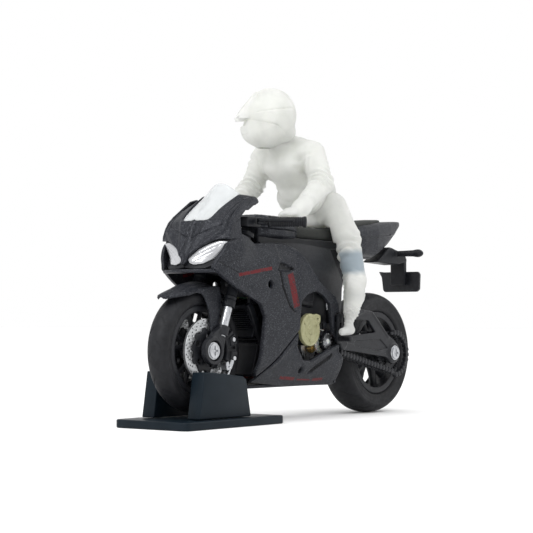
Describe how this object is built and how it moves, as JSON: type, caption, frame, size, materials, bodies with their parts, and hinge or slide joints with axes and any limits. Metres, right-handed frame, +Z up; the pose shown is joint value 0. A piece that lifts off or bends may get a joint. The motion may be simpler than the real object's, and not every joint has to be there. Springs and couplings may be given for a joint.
{
  "type": "rc motorcycle",
  "caption": "Radio-controlled sport motorcycle with full fairing, chain drive, working steering and suspension, a seated printed rider and a front-wheel display stand.",
  "frame": {"origin": "centre of the bounding box at ground level, under the bike", "axes": "+X forward along the wheelbase, +Y to the bike's left (chain side), +Z up"},
  "size_m": [0.1191, 0.0382, 0.0935],
  "materials": {
    "body_paint": "matte charcoal with a fine metallic speckle",
    "black_plastic": "satin black moulding",
    "dark_frame": "dark grey moulding",
    "stand_plastic": "smooth blue-black moulding",
    "tyre_rubber": "black rubber",
    "disc_steel": "bright drilled steel",
    "screw_steel": "plated steel",
    "engine_cover": "pale khaki gold",
    "lamp": "pale silver lens",
    "clear_screen": "clear",
    "seat_pad": "olive grey, fine grain",
    "rider_resin": "frosted translucent resin",
    "brass": "bright",
    "gear_nylon": "white nylon",
    "circuit_board": "green laminate",
    "battery_wrap": "shrink wrap"
  },
  "bodies": {
    "chassis": {"main_frame": "dark_frame", "engine_block": "black_plastic", "engine_cover_left": "engine_cover", "engine_cover_right": "engine_cover", "radiator": "black_plastic", "exhaust_silencer": "dark_frame", "upper_cowl": "body_paint", "headlight_left": "lamp", "headlight_right": "lamp", "windscreen": "clear_screen", "dash_panel": "black_plastic", "side_fairing_left": "body_paint", "side_fairing_right": "body_paint", "belly_pan_left": "body_paint", "belly_pan_right": "body_paint", "tank_cover": "body_paint", "rider_seat": "seat_pad", "tail_cowl": "body_paint", "plate_bracket": "black_plastic", "number_plate": "dark_frame", "handlebar_left": "black_plastic", "handlebar_right": "black_plastic", "footpeg_left": "black_plastic", "footpeg_right": "black_plastic", "battery": "battery_wrap", "control_board": "circuit_board", "drive_motor": "screw_steel", "gyro_motor": "screw_steel", "steering_actuator": "black_plastic", "shock_absorber": "screw_steel"},
    "switch": {"power_switch": "black_plastic"},
    "pinion": {"motor_pinion": "brass"},
    "countershaft": {"spur_gear": "gear_nylon", "front_sprocket": "screw_steel"},
    "flywheel": {"gyro_flywheel": "brass"},
    "steering": {"steering_stem": "black_plastic", "fork_outer_left": "black_plastic", "fork_outer_right": "black_plastic"},
    "fork_lower": {"fork_leg_left": "dark_frame", "fork_leg_right": "dark_frame", "front_fender": "body_paint", "brake_caliper_left": "black_plastic", "brake_caliper_right": "black_plastic", "front_axle": "screw_steel"},
    "front_wheel": {"front_tyre": "tyre_rubber", "front_rim": "dark_frame", "brake_disc_left": "disc_steel", "brake_disc_right": "disc_steel"},
    "swingarm": {"swingarm": "dark_frame", "drive_chain": "black_plastic", "rear_axle": "screw_steel"},
    "rear_wheel": {"rear_tyre": "tyre_rubber", "rear_rim": "dark_frame", "rear_sprocket": "dark_frame"},
    "stand": {"stand_base": "stand_plastic", "stand_cheek_left": "stand_plastic", "stand_cheek_right": "stand_plastic"},
    "rider": {"rider_helmet": "rider_resin", "rider_body": "rider_resin", "rider_legs": "rider_resin"}
  },
  "joints": [
    {"name": "power_switch_slide", "type": "slide", "parent": "chassis", "child": "switch", "axis": [1, 0, 0], "range_m": [-0.001, 0.001]},
    {"name": "rear_wheel_spin", "type": "hinge", "parent": "swingarm", "child": "rear_wheel", "pos_m": [-0.039, 0, 0.0182], "axis": [0, 1, 0], "continuous": true},
    {"name": "countershaft_spin", "type": "hinge", "parent": "chassis", "child": "countershaft", "pos_m": [-0.0075, 0, 0.022], "axis": [0, 1, 0], "continuous": true},
    {"name": "motor_spin", "type": "hinge", "parent": "chassis", "child": "pinion", "pos_m": [-0.0031, 0, 0.01996], "axis": [0, 1, 0], "continuous": true},
    {"name": "gyro_spin", "type": "hinge", "parent": "chassis", "child": "flywheel", "pos_m": [0.007, 0, 0.0149], "axis": [0, 1, 0], "continuous": true},
    {"name": "steering_turn", "type": "hinge", "parent": "chassis", "child": "steering", "pos_m": [0.0382, 0, 0.02], "axis": [-0.3584, 0, 0.9336], "range_deg": [-11, 11]},
    {"name": "fork_slide", "type": "slide", "parent": "steering", "child": "fork_lower", "axis": [-0.3584, 0, 0.9336], "range_m": [0, 0.002], "stiffness_N_per_m": 150, "springref_m": -0.001},
    {"name": "front_wheel_spin", "type": "hinge", "parent": "fork_lower", "child": "front_wheel", "pos_m": [0.042, 0, 0.02], "axis": [0, 1, 0], "continuous": true},
    {"name": "swingarm_pivot", "type": "hinge", "parent": "chassis", "child": "swingarm", "pos_m": [-0.0126, 0, 0.0214], "axis": [0, 1, 0], "range_deg": [-2, 3], "stiffness_Nm_per_rad": 0.8, "springref_deg": -0.69},
    {"name": "stand_release", "type": "slide", "parent": "chassis", "child": "stand", "axis": [1, 0, 0], "range_m": [0, 0.06]},
    {"name": "rider_lift", "type": "slide", "parent": "chassis", "child": "rider", "axis": [0, 0, 1], "range_m": [0, 0.045]}
  ],
  "couplings": [
    {"joint": "countershaft_spin", "follows": "rear_wheel_spin", "ratio": 2.4444},
    {"joint": "motor_spin", "follows": "rear_wheel_spin", "ratio": -7.3333}
  ]
}
